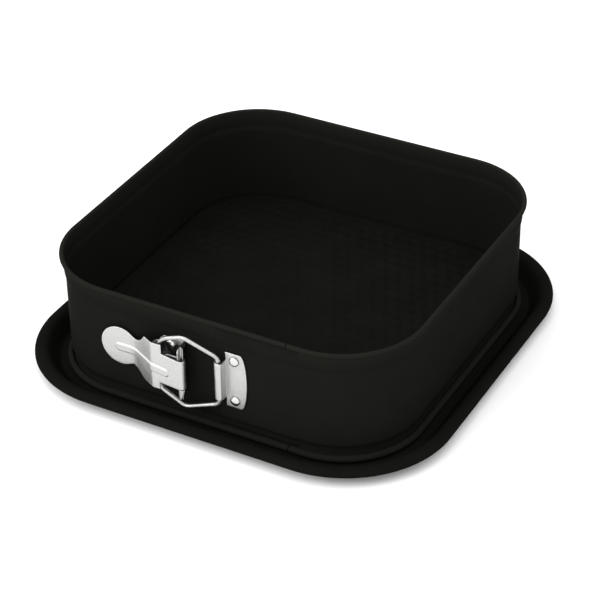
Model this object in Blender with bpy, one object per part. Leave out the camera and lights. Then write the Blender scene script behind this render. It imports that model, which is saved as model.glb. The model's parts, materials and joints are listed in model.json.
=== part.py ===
"""Square springform pan: leak-proof base tray, sprung steel band, and an over-centre wire clasp.

Metres, +Z up. The origin is on the table under the middle of the tray, and the clasp is on the -Y wall.
"""
import math

import bmesh
import bpy
from mathutils import Vector

GAP = 0.0003                    # clearance between pieces that touch

# Band: one steel strip, rolled outward along both edges.
SHEET = 0.0006                  # band thickness
WALL_HALF = 0.1206              # from the middle of the pan to the wall's outer face
CORNER_CORE = 0.0691            # from the middle to a corner arc's centre
NECK_INSET = 0.0013             # how far the neck lies inside the wall
NECK_TOP = 0.0104
WALL_FOOT = 0.0126
SHOULDER_FOOT = 0.0662
SHOULDER_TOP = 0.0684
SHOULDER_STEP = 0.0009          # how far the collar under the rim stands outside the wall
RIM_RADIUS = 0.00115            # rolled rim, to the middle of the sheet
RIM_HEIGHT = 0.07965            # middle of the rolled rim
BEAD_RADIUS = 0.0021            # rolled foot, to the middle of the sheet
SEAM_X = 0.0580                 # where the rolled edges of the band's two ends meet
SEAM_GAP = 0.0006
TONGUE_END_X = 0.0120           # free end of the outer lap
TONGUE_LOW = 0.0063
TONGUE_HIGH = 0.0774
JOGGLE_LENGTH = 0.0034
BACK_HALF = 0.0450              # half length of the piece of band on the back wall
CORNER_STEPS = 9

# Base tray: one pressed sheet.
TRAY_SHEET = 0.0008
PLATEAU_HALF = 0.1183
PLATEAU_TOP = 0.0166
PLATEAU_ROUND = 0.0025
BORDER_HALF = 0.1120            # inner edge of the plain border round the plateau
FLOOR_DROP = 0.0004             # the floor lies this much below the border
CHANNEL_HALF = 0.1285           # outer edge of the flat channel
LIP_HALF = 0.1434
LIP_CORE = 0.0721
LIP_EDGE = 0.0076

# Clasp.
CLASP_Z = 0.0424                # middle height of the clasp
PLATE = 0.0009                  # thickness of the clasp's sheet pieces
HINGE = (-0.0089, -0.1300)      # pin axis, in plan
WIRE_LEG = (-0.0253, -0.1293)   # left leg of the wire loop, in plan
HOOK = (0.0146, -0.1259)        # right leg of the wire loop, in plan
PIN_RADIUS = 0.0014
PIN_CLEARANCE = 0.0001
PIN_LOW = -0.0200               # pin ends, from the middle of the clasp
PIN_HIGH = 0.0185
KNUCKLE_TOP = 0.0094            # the lever's knuckle, from the middle of the clasp
KNUCKLE_LOW = -0.0114
BRACKET_TOP = 0.0174
BRACKET_LOW = -0.0197
BRACKET_LEFT = -0.0285
EAR_TOP = 0.0138                # ends of the bracket's rolled ears
EAR_LOW = -0.0152
NOTCH_GAP = 0.0005              # between the lever's knuckle and the bracket's
NOTCH_DEPTH_Y = -0.1266
WIRE_RADIUS = 0.00115
HOOK_HALF = 0.0133
HOOK_RADIUS = 0.0021
CATCH_HALF = 0.0197
CATCH_LEFT = 0.0172
CATCH_RIGHT = 0.0277
CATCH_BULGE = 0.0042            # how far the catch's right side bows out
PAD_X = -0.0571
PAD_LIFT = 0.0005               # the pad's centre, from the middle of the clasp
PAD_RADIUS = 0.0134
PAD_Y = -0.12275                # middle of the sheet at the thumb pad
NECK_TOP_EDGE = 0.0096
NECK_LOW_EDGE = -0.0103
RAMP_START = -0.0500            # the lever slopes outward from here
RAMP_END = -0.0285
WING_TOP = 0.0176
WING_LOW = -0.0153
WING_TOP_RIGHT = -0.0216        # right edges of the two wings
WING_LOW_RIGHT = -0.0236
BODY_TOP = 0.0112               # the body beside the wings
BODY_LOW = -0.0102
STOP_X = -0.0202                # end of the lever's folded-back flap, which holds the wire's leg
RIB_HALF = 0.0015
RIB_HEIGHT = 0.0009
RIB_LEFT = -0.0605
RIB_RIGHT = -0.0165
RIVET_SHANK = 0.0016
RIVET_HEAD = 0.0030
RIVET_DOME = 0.0017
BRACKET_RIVETS = (("upper", -0.0204, 0.0125), ("lower", -0.0204, -0.0148))   # X, from the middle
CATCH_RIVETS = (("upper", 0.0238, 0.0145), ("lower", 0.0238, -0.0145))

WALL_Y = -WALL_HALF
TONGUE_FACE_Y = WALL_Y - SHEET - GAP
KNUCKLE_RADIUS = PIN_RADIUS + PIN_CLEARANCE + PLATE / 2
BODY_Y = HINGE[1] - KNUCKLE_RADIUS
TURN = 2 * math.pi


def clear_scene():
    for item in list(bpy.data.objects):
        bpy.data.objects.remove(item, do_unlink=True)


def make_material(name, color, roughness, metallic):
    material = bpy.data.materials.new(name)
    material.use_nodes = True
    shader = material.node_tree.nodes["Principled BSDF"]
    shader.inputs["Base Color"].default_value = (*color, 1.0)
    shader.inputs["Roughness"].default_value = roughness
    shader.inputs["Metallic"].default_value = metallic
    return material


def add_solid(name, bm, material, origin=(0.0, 0.0, 0.0)):
    """Turn a closed bmesh into a smooth-shaded object whose origin is at the given point."""
    bmesh.ops.remove_doubles(bm, verts=bm.verts, dist=1e-7)
    bmesh.ops.recalc_face_normals(bm, faces=bm.faces)
    bmesh.ops.translate(bm, verts=bm.verts, vec=-Vector(origin))
    mesh = bpy.data.meshes.new(name)
    bm.to_mesh(mesh)
    bm.free()
    mesh.shade_smooth()
    mesh.set_sharp_from_angle(angle=math.radians(35))
    mesh.materials.append(material)
    item = bpy.data.objects.new(name, mesh)
    item.location = origin
    bpy.context.collection.objects.link(item)
    return item


def combine(target, tool, operation):
    """Boolean the tool into the target, and leave the tool as a hidden guide."""
    tool.hide_render = True
    tool.display_type = "WIRE"
    modifier = target.modifiers.new(operation.title() + "_" + tool.name, "BOOLEAN")
    modifier.operation = operation
    modifier.solver = "EXACT"
    modifier.object = tool


def arc(centre, radius, start, end, steps):
    """Points on an arc, with the angles in degrees."""
    points = []
    for step in range(steps + 1):
        angle = math.radians(start + (end - start) * step / steps)
        points.append((centre[0] + radius * math.cos(angle), centre[1] + radius * math.sin(angle)))
    return points


def side_points(path, distance):
    """The path moved sideways to its left by a distance, with mitred corners."""
    moved = []
    for index, point in enumerate(path):
        here = Vector(point)
        before = Vector(path[max(index - 1, 0)])
        after = Vector(path[min(index + 1, len(path) - 1)])
        first = (here - before) if index else (after - here)
        second = (after - here) if index < len(path) - 1 else (here - before)
        normal_a = Vector((-first.y, first.x)).normalized()
        normal_b = Vector((-second.y, second.x)).normalized()
        normal = (normal_a + normal_b).normalized()
        moved.append(here + normal * distance / max(normal.dot(normal_a), 0.5))
    return moved


def sheet_outline(path, thickness):
    """Closed outline of a sheet whose middle follows the path."""
    return side_points(path, thickness / 2) + side_points(path, -thickness / 2)[::-1]


def bridge(bm, first, second):
    """Side faces between two rings of the same number of vertices."""
    count = len(first)
    for index in range(count):
        following = (index + 1) % count
        bm.faces.new((first[index], first[following], second[following], second[index]))


def add_ends(bm, rings, half):
    """Cap a sheet's two ends with a strip of quads, so that thin caps stay well shaped."""
    for ring in (rings[0], rings[-1]):
        for index in range(half - 1):
            far = 2 * half - 1 - index
            bm.faces.new((ring[index], ring[index + 1], ring[far - 1], ring[far]))


# ---------------------------------------------------------------- band and tray

def band_path():
    """Middle of the band's sheet as (distance outside the wall's face, height), from foot to rim."""
    wall = -SHEET / 2
    neck = wall - NECK_INSET
    collar = wall + SHOULDER_STEP
    bead_centre = (neck + BEAD_RADIUS, TRAY_SHEET + GAP + BEAD_RADIUS + SHEET / 2)
    rim_centre = (collar + RIM_RADIUS, RIM_HEIGHT)
    foot = arc(bead_centre, BEAD_RADIUS, 90, -180, 6)
    web = [(neck, NECK_TOP), (wall, WALL_FOOT), (wall, SHOULDER_FOOT), (collar, SHOULDER_TOP)]
    rim = arc(rim_centre, RIM_RADIUS, 180, -90, 6)
    return foot + web + rim


def corner_stations(sign_x, sign_y, start, end):
    """Stations round one corner: a point on the wall's outer face, and the outward direction."""
    stations = []
    radius = WALL_HALF - CORNER_CORE
    centre = Vector((sign_x * CORNER_CORE, sign_y * CORNER_CORE))
    for step in range(CORNER_STEPS + 1):
        angle = math.radians(start + (end - start) * step / CORNER_STEPS)
        outward = Vector((math.cos(angle), math.sin(angle)))
        stations.append((centre + outward * radius, outward))
    return stations


def straight_station(x, side):
    return (Vector((x, side * WALL_HALF)), Vector((0.0, side)))


def sweep_band(outline, stations, outset=None):
    """Sweep an outline of (outset, height) points along the stations, closed at both ends."""
    bm = bmesh.new()
    rings = []
    for index, (point, outward) in enumerate(stations):
        extra = outset[index] if outset else 0.0
        ring = []
        for distance, height in outline:
            place = point + outward * (distance + extra)
            ring.append(bm.verts.new((place.x, place.y, height)))
        rings.append(ring)
    for first, second in zip(rings, rings[1:]):
        bridge(bm, first, second)
    add_ends(bm, rings, len(outline) // 2)
    return bm


def make_band(material):
    outline = sheet_outline(band_path(), SHEET)
    back = [straight_station(-BACK_HALF, 1), straight_station(BACK_HALF, 1)]
    add_solid("band_back", sweep_band(outline, back), material)

    left = [straight_station(-BACK_HALF - GAP, 1)]
    left += corner_stations(-1, 1, 90, 180)
    left += corner_stations(-1, -1, 180, 270)
    left.append(straight_station(SEAM_X, -1))
    band_left = add_solid("band_left", sweep_band(outline, left), material)

    right = [straight_station(BACK_HALF + GAP, 1)]
    right += corner_stations(1, 1, 90, 0)
    right += corner_stations(1, -1, 0, -90)
    right.append(straight_station(SEAM_X + SEAM_GAP, -1))
    band_right = add_solid("band_right", sweep_band(outline, right), material)
    combine(band_right, make_tongue(material), "UNION")
    return band_left, band_right


def make_tongue(material):
    """The right end's web, carried on to the left outside the other end."""
    wall = -SHEET / 2
    neck = wall - NECK_INSET
    collar = wall + SHOULDER_STEP
    path = [(neck, TONGUE_LOW), (neck, NECK_TOP), (wall, WALL_FOOT)]
    path += [(wall, SHOULDER_FOOT), (collar, SHOULDER_TOP), (collar, TONGUE_HIGH)]
    outline = sheet_outline(path, SHEET)
    joggle = SEAM_X + SEAM_GAP
    stations = [straight_station(x, -1) for x in (TONGUE_END_X, joggle)]
    lap = SHEET + GAP
    bm = sweep_band(outline, stations, [lap, lap])
    # The last stretch steps back into the wall and thins, so that it ends inside the sheet.
    ending = sheet_outline(path, SHEET * 0.6)
    ring = []
    for distance, height in ending:
        inside = min(max(height, TONGUE_LOW + SHEET), TONGUE_HIGH - SHEET)
        ring.append(bm.verts.new((joggle + JOGGLE_LENGTH, WALL_Y - distance, inside)))
    bm.verts.ensure_lookup_table()
    count = len(outline)
    near = [bm.verts[count + index] for index in range(count)]
    for face in [f for f in bm.faces if all(v in near for v in f.verts)]:
        bm.faces.remove(face)
    bridge(bm, near, ring)
    half = count // 2
    for index in range(half - 1):
        far = count - 1 - index
        bm.faces.new((ring[index], ring[index + 1], ring[far - 1], ring[far]))
    return add_solid("guide_tongue", bm, material)


def tray_path():
    """Middle of the tray's sheet as (half width, height), from the floor out to the lip."""
    half_sheet = TRAY_SHEET / 2
    top = PLATEAU_TOP - half_sheet
    side = PLATEAU_HALF - half_sheet
    floor = [(BORDER_HALF - 0.0008, top - FLOOR_DROP), (BORDER_HALF, top)]
    turn = PLATEAU_ROUND - half_sheet
    shoulder = arc((side - turn, top - turn), turn, 90, 0, 3)
    foot = arc((side + 0.0012, half_sheet + 0.0012), 0.0012, 180, 270, 2)
    rise = [(CHANNEL_HALF, half_sheet), (0.1303, 0.0021), (0.1336, 0.0074), (0.1357, 0.0100)]
    lip = [(0.1380, 0.0110), (0.1405, 0.0108), (0.1421, 0.0100), (LIP_HALF - half_sheet, 0.0087)]
    edge = [(LIP_HALF - half_sheet, LIP_EDGE)]
    return floor + shoulder + foot + rise + lip + edge


def tray_core(half):
    """Corner centres move out slightly from the plateau to the lip."""
    share = (half - CHANNEL_HALF) / (LIP_HALF - CHANNEL_HALF)
    return CORNER_CORE + (LIP_CORE - CORNER_CORE) * min(max(share, 0.0), 1.0)


def rounded_square(bm, half, height):
    """A ring of vertices round a square with arc corners."""
    core = tray_core(half)
    ring = []
    for quarter in range(4):
        sign_x = 1 if quarter in (0, 3) else -1
        sign_y = 1 if quarter in (0, 1) else -1
        for step in range(CORNER_STEPS + 1):
            angle = math.radians(90 * quarter + 90 * step / CORNER_STEPS)
            x = sign_x * core + (half - core) * math.cos(angle)
            y = sign_y * core + (half - core) * math.sin(angle)
            ring.append(bm.verts.new((x, y, height)))
    return ring


def make_tray(material):
    bm = bmesh.new()
    path = tray_path()
    upper = [rounded_square(bm, p.x, p.y) for p in side_points(path, TRAY_SHEET / 2)]
    lower = [rounded_square(bm, p.x, p.y) for p in side_points(path, -TRAY_SHEET / 2)]
    for rings in (upper, lower):
        for first, second in zip(rings, rings[1:]):
            bridge(bm, first, second)
        bm.faces.new(rings[0])
    bridge(bm, upper[-1], lower[-1])
    return add_solid("base_tray", bm, material)


# ---------------------------------------------------------------- clasp

def sweep_plate(path, edges, thickness):
    """A sheet standing along Z: its middle follows a path in plan, with (low, high) edges per point."""
    bm = bmesh.new()
    left = side_points(path, thickness / 2)
    right = side_points(path, -thickness / 2)
    rings = []
    for a, b, (low, high) in zip(left, right, edges):
        corners = ((a, high), (b, high), (b, low), (a, low))
        rings.append([bm.verts.new((p.x, p.y, CLASP_Z + height)) for p, height in corners])
    for first, second in zip(rings, rings[1:]):
        bridge(bm, first, second)
    bm.faces.new(rings[0])
    bm.faces.new(rings[-1])
    return bm


def peg(name, x, y_from, y_to, z, radius, material):
    """A round bar along Y, used as a cutter for a rivet's hole."""
    bm = bmesh.new()
    rings = []
    for y in (y_from, y_to):
        ring = []
        for step in range(16):
            angle = TURN * step / 16
            ring.append(bm.verts.new((x + radius * math.cos(angle), y, z + radius * math.sin(angle))))
        rings.append(ring)
    bridge(bm, rings[0], rings[1])
    bm.faces.new(rings[0])
    bm.faces.new(rings[1])
    return add_solid(name, bm, material)


def cut_rivet_holes(targets, places, label, material):
    for side, x, height in places:
        z = CLASP_Z + height
        cutter = peg("guide_" + label + "_" + side, x, -0.130, -0.118, z, RIVET_SHANK + GAP, material)
        for target in targets:
            combine(target, cutter, "DIFFERENCE")


def make_rivet(name, x, z, head_y, tail_y, tail_head, material):
    """A domed rivet along Y; its tail is either flush or spread into a thin flat head."""
    profile = [(0.0, head_y - RIVET_DOME)]
    for step in range(1, 5):
        angle = math.radians(90 * step / 4)
        profile.append((RIVET_HEAD * math.sin(angle), head_y - RIVET_DOME * math.cos(angle)))
    profile += [(RIVET_SHANK, head_y), (RIVET_SHANK, tail_y)]
    if tail_head:
        profile += [(RIVET_HEAD * 0.85, tail_y), (RIVET_HEAD * 0.75, tail_y + tail_head)]
        profile.append((0.0, tail_y + tail_head))
    else:
        profile.append((0.0, tail_y))
    bm = bmesh.new()
    rings = []
    for radius, y in profile[1:-1]:
        ring = []
        for step in range(16):
            angle = TURN * step / 16
            ring.append(bm.verts.new((x + radius * math.cos(angle), y, z + radius * math.sin(angle))))
        rings.append(ring)
    for first, second in zip(rings, rings[1:]):
        bridge(bm, first, second)
    for ring, (_, y) in ((rings[0], profile[0]), (rings[-1], profile[-1])):
        tip = bm.verts.new((x, y, z))
        for index in range(16):
            bm.faces.new((ring[index], ring[(index + 1) % 16], tip))
    return add_solid(name, bm, material, (x, head_y, z))


def make_bracket(material):
    """Plate on the wall with a leaf standing out of it, whose ends are rolled round the pin."""
    plate_y = WALL_Y - GAP - PLATE / 2
    leaf_x = HINGE[0] - KNUCKLE_RADIUS
    path = [(BRACKET_LEFT, plate_y), (BRACKET_LEFT + 0.0025, plate_y), (leaf_x, plate_y)]
    path.append((leaf_x, NOTCH_DEPTH_Y))
    edges = [(BRACKET_LOW + 0.0025, BRACKET_TOP - 0.0025)]
    edges += [(BRACKET_LOW, BRACKET_TOP)] * 3
    origin = (HINGE[0], HINGE[1], CLASP_Z)
    bracket = add_solid("hinge_bracket", sweep_plate(path, edges, PLATE), material, origin)
    curl = [(leaf_x, NOTCH_DEPTH_Y + 0.0011)] + arc(HINGE, KNUCKLE_RADIUS, 180, 400, 9)
    upper = (KNUCKLE_TOP + NOTCH_GAP, EAR_TOP)
    lower = (EAR_LOW, KNUCKLE_LOW - NOTCH_GAP)
    for side, span in (("upper", upper), ("lower", lower)):
        bm = sweep_plate(curl, [span] * len(curl), PLATE * 0.98)
        combine(bracket, add_solid("guide_curl_" + side, bm, material), "UNION")
    return bracket


def make_pin(material):
    bm = bmesh.new()
    rings = []
    point = 0.0022
    shape = ((PIN_LOW, 0.25), (PIN_LOW + point, 1.0), (PIN_HIGH - point / 3, 1.0), (PIN_HIGH, 0.6))
    for height, share in shape:
        ring = []
        for x, y in arc(HINGE, PIN_RADIUS * share, 0, 360, 24)[:-1]:
            ring.append(bm.verts.new((x, y, CLASP_Z + height)))
        rings.append(ring)
    for first, second in zip(rings, rings[1:]):
        bridge(bm, first, second)
    bm.faces.new(rings[0])
    bm.faces.new(rings[-1])
    return add_solid("hinge_pin", bm, material, (HINGE[0], HINGE[1], CLASP_Z))


def make_catch(material):
    """Plate on the lap's outside, with a hook bent out of its left edge round the wire."""
    plate_y = TONGUE_FACE_Y - GAP - PLATE / 2
    path = []
    halves = []
    for step in range(7):
        angle = math.radians(90 * step / 6)
        path.append((CATCH_RIGHT + CATCH_BULGE * math.cos(angle), plate_y))
        halves.append(CATCH_HALF * max(math.sin(angle), 0.12))
    path += [(CATCH_LEFT + 0.0004, plate_y), (CATCH_LEFT, plate_y), (CATCH_LEFT, HOOK[1] - HOOK_RADIUS)]
    halves += [CATCH_HALF, HOOK_HALF, HOOK_HALF]
    hook = arc(HOOK, HOOK_RADIUS, 270, 90, 7)
    path += hook
    halves += [HOOK_HALF] * len(hook)
    origin = (HOOK[0], HOOK[1], CLASP_Z)
    edges = [(-half, half) for half in halves]
    return add_solid("catch_plate", sweep_plate(path, edges, PLATE), material, origin)


def lever_y(x):
    """Middle of the lever's sheet: flat at the pad, a slope with a soft start, then flat to the pin."""
    soft = 0.35
    share = min(max((x - RAMP_START) / (RAMP_END - RAMP_START), 0.0), 1.0)
    rise = share * share / (2 * soft) if share < soft else share - soft / 2
    return PAD_Y + (BODY_Y - PAD_Y) * rise / (1 - soft / 2)


def lever_stations():
    """Path in plan and (low, high) edges of the lever, from the thumb pad's tip to the pin."""
    outline = []
    for step in range(11):
        angle = math.radians(172 - 116 * step / 10)
        rise = PAD_RADIUS * math.sin(angle)
        outline.append((PAD_X + PAD_RADIUS * math.cos(angle), PAD_LIFT - rise, PAD_LIFT + rise))
    outline += [(-0.0471, NECK_LOW_EDGE, NECK_TOP_EDGE + 0.0002), (-0.0444, -0.0112, NECK_TOP_EDGE)]
    outline += [(-0.0410, -0.0129, 0.0112), (-0.0384, -0.0144, 0.0136), (-0.0365, -0.0151, 0.0160)]
    outline += [(-0.0350, WING_LOW, 0.0173), (-0.0330, WING_LOW, WING_TOP), (RAMP_END, WING_LOW, WING_TOP)]
    outline += [(WING_LOW_RIGHT - 0.0003, WING_LOW, WING_TOP), (WING_LOW_RIGHT, BODY_LOW, WING_TOP)]
    outline += [(WING_TOP_RIGHT, BODY_LOW, WING_TOP), (WING_TOP_RIGHT + 0.0003, BODY_LOW, BODY_TOP)]
    outline.append((HINGE[0] - 0.0020, KNUCKLE_LOW, KNUCKLE_TOP))
    path = [(x, lever_y(x)) for x, _, _ in outline]
    edges = [(low, high) for _, low, high in outline]
    return path, edges


def make_lever(material):
    path, edges = lever_stations()
    roll = arc(HINGE, KNUCKLE_RADIUS, -90, 90, 8)
    back_y = HINGE[1] + KNUCKLE_RADIUS
    flap = [(STOP_X + 0.0016, back_y), (STOP_X + 0.0005, back_y - 0.0005), (STOP_X, back_y - 0.0014)]
    flap.append((STOP_X, BODY_Y + PLATE + GAP))
    path += roll + flap
    edges += [(KNUCKLE_LOW, KNUCKLE_TOP)] * len(roll + flap)
    origin = (HINGE[0], HINGE[1], CLASP_Z)
    lever = add_solid("clasp_lever", sweep_plate(path, edges, PLATE), material, origin)
    add_wing_curls(lever, material)
    add_rib(lever, material)
    return lever


def add_wing_curls(lever, material):
    """Half rolls behind the wings, round the outer side of the wire's left leg."""
    radius = WIRE_LEG[1] - BODY_Y
    curl = arc(WIRE_LEG, radius, 250, 90, 7)
    upper = (BODY_TOP + 0.0013, WING_TOP - 0.0004)
    lower = (WING_LOW + 0.0004, BODY_LOW - 0.0013)
    for side, span in (("upper", upper), ("lower", lower)):
        bm = sweep_plate(curl, [span] * len(curl), PLATE * 0.96)
        combine(lever, add_solid("guide_wing_" + side, bm, material), "UNION")


def add_rib(lever, material):
    """A straight pressed rib along the lever, which drops a little towards the pin."""
    stops = [RIB_LEFT, RIB_LEFT + 0.0015]
    stops += [RAMP_START + (RAMP_END - RAMP_START) * step / 8 for step in range(9)]
    stops += [RIB_RIGHT - 0.0015, RIB_RIGHT]
    spine = side_points([(x, lever_y(x)) for x in stops], -(PLATE + RIB_HEIGHT) / 2)
    drop = 0.0022
    edges = []
    for x in stops:
        middle = PAD_LIFT - drop * max(x - RAMP_END, 0.0) / (RIB_RIGHT - RAMP_END)
        half = RIB_HALF * (0.6 if x in (RIB_LEFT, RIB_RIGHT) else 1.0)
        edges.append((middle - half, middle + half))
    bm = sweep_plate([(p.x, p.y) for p in spine], edges, RIB_HEIGHT + PLATE * 0.3)
    combine(lever, add_solid("guide_rib", bm, material), "UNION")


def loop_corners():
    """Corners of the wire loop as (X, height from the middle), anticlockwise from the hook's top."""
    upper = [(HOOK[0], 0.0165), (-0.0083, 0.0252), (-0.0213, 0.0210), (WIRE_LEG[0], 0.0163)]
    lower = [(WIRE_LEG[0], -0.0158), (-0.0084, -0.0261), (HOOK[0], -0.0176)]
    return upper + lower


def make_loop(material):
    """One closed ring of wire, with each corner rounded by a quadratic bend."""
    corners = [Vector(corner) for corner in loop_corners()]
    bend = 0.0030
    points = []
    for index, corner in enumerate(corners):
        before = (corners[index - 1] - corner)
        after = (corners[(index + 1) % len(corners)] - corner)
        start = corner + before.normalized() * min(bend, before.length * 0.45)
        end = corner + after.normalized() * min(bend, after.length * 0.45)
        for step in range(4):
            t = step / 3
            points.append(start * (1 - t) ** 2 + corner * 2 * t * (1 - t) + end * t * t)
    slope = (WIRE_LEG[1] - HOOK[1]) / (WIRE_LEG[0] - HOOK[0])
    curve = bpy.data.curves.new("wire_loop", "CURVE")
    curve.dimensions = "3D"
    curve.bevel_depth = WIRE_RADIUS
    curve.bevel_resolution = 2
    spline = curve.splines.new("POLY")
    spline.points.add(len(points) - 1)
    for point, target in zip(points, spline.points):
        local_x = point.x - HOOK[0]
        target.co = (local_x, slope * local_x, point.y, 1.0)
    spline.use_cyclic_u = True
    curve.materials.append(material)
    loop = bpy.data.objects.new("wire_loop", curve)
    loop.location = (HOOK[0], HOOK[1], CLASP_Z)
    bpy.context.collection.objects.link(loop)
    return loop


def main():
    clear_scene()
    coating = make_material("coated_band", (0.020, 0.020, 0.019), 0.42, 0.0)
    tray_coat = make_material("coated_tray", (0.018, 0.018, 0.017), 0.45, 0.0)
    zinc = make_material("zinc_sheet", (0.62, 0.62, 0.60), 0.38, 1.0)
    wire = make_material("zinc_wire", (0.60, 0.59, 0.57), 0.25, 1.0)
    make_tray(tray_coat)
    band_left, band_right = make_band(coating)
    bracket = make_bracket(zinc)
    catch = make_catch(zinc)
    make_pin(wire)
    make_lever(zinc)
    make_loop(wire)
    cut_rivet_holes((band_left, bracket), BRACKET_RIVETS, "bracket_hole", coating)
    cut_rivet_holes((band_right, catch), CATCH_RIVETS, "catch_hole", coating)
    head_y = WALL_Y - 2 * GAP - PLATE
    for side, x, height in BRACKET_RIVETS:
        make_rivet("bracket_rivet_" + side, x, CLASP_Z + height, head_y, WALL_Y + SHEET + GAP, 0.0005, wire)
    head_y = TONGUE_FACE_Y - 2 * GAP - PLATE
    for side, x, height in CATCH_RIVETS:
        make_rivet("catch_rivet_" + side, x, CLASP_Z + height, head_y, TONGUE_FACE_Y + SHEET, 0.0, wire)


main()
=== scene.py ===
"""Looks of a square springform pan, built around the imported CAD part.

Metres, +Z up, in the part's own frame. The clasp is on the -Y wall.
"""
import json
import math
from bisect import bisect_right

import bpy
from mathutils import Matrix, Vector
from mathutils.geometry import delaunay_2d_cdt

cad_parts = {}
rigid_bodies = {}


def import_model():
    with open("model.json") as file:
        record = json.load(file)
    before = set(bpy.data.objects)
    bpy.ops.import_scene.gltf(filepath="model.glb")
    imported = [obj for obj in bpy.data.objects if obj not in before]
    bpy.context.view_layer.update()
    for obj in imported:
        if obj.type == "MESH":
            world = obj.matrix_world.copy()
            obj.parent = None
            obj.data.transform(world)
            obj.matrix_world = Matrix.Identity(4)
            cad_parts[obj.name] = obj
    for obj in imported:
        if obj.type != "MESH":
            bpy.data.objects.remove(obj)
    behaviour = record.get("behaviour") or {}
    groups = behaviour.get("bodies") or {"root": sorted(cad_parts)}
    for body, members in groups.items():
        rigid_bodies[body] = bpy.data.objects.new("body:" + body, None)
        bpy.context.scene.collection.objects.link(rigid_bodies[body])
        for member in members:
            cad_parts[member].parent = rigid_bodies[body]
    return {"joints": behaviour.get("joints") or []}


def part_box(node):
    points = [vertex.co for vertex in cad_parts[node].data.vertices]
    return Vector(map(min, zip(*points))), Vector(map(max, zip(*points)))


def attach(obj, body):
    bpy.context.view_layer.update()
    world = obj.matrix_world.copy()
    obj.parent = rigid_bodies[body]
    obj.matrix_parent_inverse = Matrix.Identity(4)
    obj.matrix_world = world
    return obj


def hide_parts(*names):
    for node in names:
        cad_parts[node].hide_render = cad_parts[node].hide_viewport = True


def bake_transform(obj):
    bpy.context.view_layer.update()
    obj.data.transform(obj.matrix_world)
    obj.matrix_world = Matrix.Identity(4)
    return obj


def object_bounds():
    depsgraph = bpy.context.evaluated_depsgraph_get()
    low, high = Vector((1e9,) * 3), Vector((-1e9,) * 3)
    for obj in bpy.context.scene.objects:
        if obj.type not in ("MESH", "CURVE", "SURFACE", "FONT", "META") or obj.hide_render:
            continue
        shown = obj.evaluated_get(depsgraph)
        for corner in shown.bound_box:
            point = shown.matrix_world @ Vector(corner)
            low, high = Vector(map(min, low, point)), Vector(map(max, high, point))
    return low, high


for item in list(bpy.data.objects):
    bpy.data.objects.remove(item, do_unlink=True)

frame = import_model()
CAD_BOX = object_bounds()


def joint_place(name):
    """A hinge's point, in metres."""
    joint = next(joint for joint in frame["joints"] if joint["name"] == name)
    return Vector(joint["pos_m"])


# ---------------- sizes read from the frame

HINGE = joint_place("lever_swing")
HOOK = joint_place("loop_swing")
CLASP_Z = HINGE.z
BACK_LOW, BACK_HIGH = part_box("band_back")
TRAY_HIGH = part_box("base_tray")[1]
LEVER_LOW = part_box("clasp_lever")[0]
BRACKET_LOW, BRACKET_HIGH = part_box("hinge_bracket")
CATCH_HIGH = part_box("catch_plate")[1]
LOOP_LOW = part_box("wire_loop")[0]
PIN_LOW, PIN_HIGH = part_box("hinge_pin")

SHEET = 0.0006                  # band thickness
GAP = 0.0003                    # clearance between sheets that lie on each other
RIM_REACH = 0.0032              # the rolled rim stands this far outside the wall
WALL_HALF = BACK_HIGH.y - RIM_REACH
CORNER_CORE = 0.0691            # from the middle to a corner arc's centre
BACK_END = BACK_HIGH.x          # half length of the back piece of the band
SEAM_SHIFT = 0.0012             # the photo's seam is this much further right than the CAD's
SEAM_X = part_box("band_left")[1].x + SEAM_SHIFT
SEAM_GAP = 0.0006
TONGUE_END_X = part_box("band_right")[0].x
LIP_HALF = TRAY_HIGH.x
TRAY_SHEET = 0.0008
PLATE = 0.0009                  # thickness of the clasp's sheet pieces
WIRE_RADIUS = 0.00115           # the CAD wire's
WIRE_SHOWN = 0.00140            # the drawn wire fills more of its bearings
LEG = Vector((LOOP_LOW.x + WIRE_RADIUS, LOOP_LOW.y + WIRE_RADIUS))   # left leg, in plan

# ---------------- finer sizes

NECK_INSET = 0.0013             # the wall is drawn in above the foot's roll
NECK_TOP = 0.0104
WALL_FOOT = 0.0126
SHOULDER_FOOT = 0.0662          # the collar stands out above this height
SHOULDER_TOP = 0.0684
SHOULDER_STEP = 0.0009
WALL_BEND = 0.0022              # how far the wall's bends run
RIM_RADIUS = 0.00115
RIM_TURN = (180, -110, 18)      # start and end angle of the rolled rim, and its steps
BEAD_RADIUS = 0.0021
BEAD_TURN = (105, -180, 20)     # the same for the rolled foot
TONGUE_LOW = 0.0063
TONGUE_HIGH = 0.0774
TONGUE_STATIONS = (0.02, -0.012)   # from the lap's free end, and from the seam
JOGGLE_LENGTH = 0.0108          # the lap sinks into the wall over this length
JOGGLE_START = 0.0008           # left of the seam
JOGGLE_STEPS = 14
LAP_THINNEST = 0.55             # share of the sheet's thickness where the lap meets the wall
CORNER_STEPS = 24
WALL_STEPS = 24
BACK_STEPS = 6

PLATEAU_HALF = 0.1183
PLATEAU_TOP = 0.0166
PLATEAU_ROUND = 0.0025
BORDER_HALF = 0.1120            # inner edge of the floor's plain border
BORDER_BEND = 0.0005
FLOOR_STEP = (0.0022, 0.0010, 0.0015)   # from it in to the floor and the rise's foot, and out
FLOOR_DROP = 0.0004
FOOT_TURN = 0.0012
CHANNEL_HALF = 0.1285
CHANNEL_FLAT_END = 0.0015
LIP_RISE = ((0.1303, 0.0021), (0.1336, 0.0074), (0.1357, 0.0100), (0.1380, 0.0110),
            (0.1405, 0.0108), (0.1421, 0.0100))   # (half width, height) up to the lip
LIP_TURN = (0.0001, 0.0087)     # inset and height where the lip turns down
LIP_CORE = 0.0721
LIP_EDGE = 0.0076
LIP_ROUND = ((0.7, -0.7), (0, -1), (-0.7, -0.7))   # the edge's rounding, in half thicknesses
DIMPLE_PITCH = 0.0094           # spacing of the floor's pressed spots
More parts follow.
